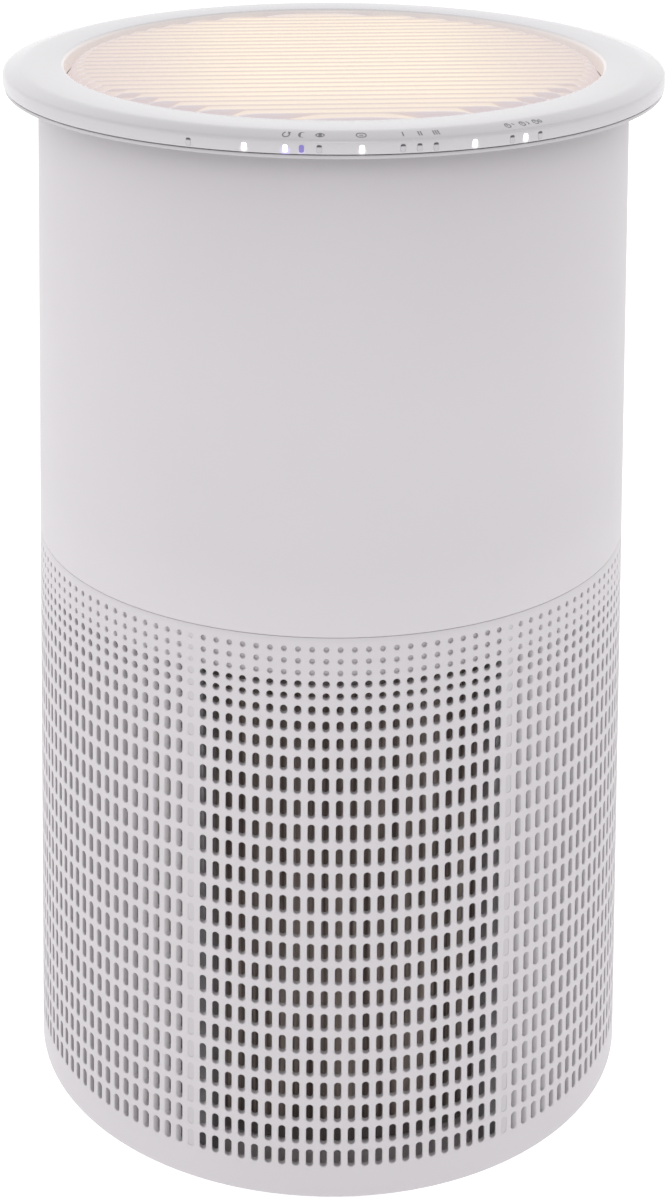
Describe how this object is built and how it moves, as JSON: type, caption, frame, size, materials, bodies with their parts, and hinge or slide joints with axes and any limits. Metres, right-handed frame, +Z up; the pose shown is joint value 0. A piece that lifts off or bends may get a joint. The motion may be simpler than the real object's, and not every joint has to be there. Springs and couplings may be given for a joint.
{
  "type": "air purifier",
  "caption": "Free-standing round air purifier: perforated lower housing round a ring filter, lift-off head with fan, lamp, outlet grille and a control ring.",
  "frame": {"origin": "centre of the footprint, on the floor under the rubber feet", "axes": "+Z up along the body's axis, the control ring's lit front towards -Y, +X to the right as seen from the front"},
  "size_m": [0.2954, 0.2954, 0.5003],
  "materials": {
    "shell_white": "fine matt moulded plastic, warm white",
    "rim_white": "satin white plastic",
    "inner_grey": "plain grey moulded plastic",
    "black_plastic": "matt black plastic",
    "fan_plastic": "dark grey glass-filled plastic",
    "filter_mesh": "dark brown-grey woven mesh",
    "filter_paper": "pleated white paper",
    "carbon": "bonded carbon granules",
    "gasket_foam": "black foam rubber",
    "foot_rubber": "grey rubber",
    "tab_fabric": "woven tape",
    "steel": "zinc-plated steel",
    "copper_core": "enamelled copper windings on a steel core",
    "circuit_board": "green solder mask",
    "component_black": "black moulded component",
    "heat_sink": "plain extruded aluminium",
    "lens_clear": "frosted clear window",
    "led_yellow": "phosphor-coated lamp chip",
    "diffuser": "translucent opal plastic",
    "grille_plastic": "satin translucent white plastic",
    "brass_pin": "plated contact pins"
  },
  "bodies": {
    "lower_housing": {"intake_shell": "shell_white", "base_pan": "inner_grey", "foot_pads": "foot_rubber", "guide_posts": "inner_grey", "interlock_magnet": "steel", "base_screws": "steel"},
    "filter": {"prefilter_sleeve": "filter_mesh", "filter_pleats": "filter_paper", "carbon_liner": "carbon", "filter_gasket": "gasket_foam", "pull_tab": "tab_fabric", "filter_bottom_cap": "black_plastic", "filter_top_cap": "black_plastic"},
    "head": {"upper_shell": "shell_white", "inlet_deck": "inner_grey", "inlet_bell": "inner_grey", "finger_guard": "inner_grey", "fan_duct": "inner_grey", "duct_screws": "steel", "stator": "inner_grey", "motor_flange": "steel", "bearings": "steel", "motor_core": "copper_core", "lamp_board": "circuit_board", "lamp_bosses": "inner_grey", "lamp_leds": "led_yellow", "reflector": "rim_white", "lamp_dome": "diffuser", "outlet_grille": "grille_plastic", "rim_tray": "rim_white", "tray_screws": "steel", "rim_cover": "rim_white", "light_pipes": "lens_clear", "control_board": "circuit_board", "touch_pads": "gasket_foam", "mains_inlet": "black_plastic", "inlet_pins": "brass_pin", "psu_board": "circuit_board", "psu_transformer": "component_black", "psu_capacitors": "component_black", "psu_heat_sink": "heat_sink", "sensor_box": "component_black", "reed_board": "circuit_board", "reed_switch": "lens_clear"},
    "impeller_rotor": {"rotor_can": "steel", "motor_shaft": "steel", "impeller": "fan_plastic", "impeller_nut": "steel"}
  },
  "joints": [
    {"name": "head_lift", "type": "slide", "parent": "lower_housing", "child": "head", "axis": [0, 0, 1], "range_m": [0, 0.56]},
    {"name": "filter_lift", "type": "slide", "parent": "lower_housing", "child": "filter", "axis": [0, 0, 1], "range_m": [0, 0.28]},
    {"name": "impeller_spin", "type": "hinge", "parent": "head", "child": "impeller_rotor", "pos_m": [0, 0, 0.3], "axis": [0, 0, 1], "continuous": true}
  ],
  "couplings": [
    {"joint": "filter_lift", "follows": "head_lift", "ratio": 0.5}
  ]
}
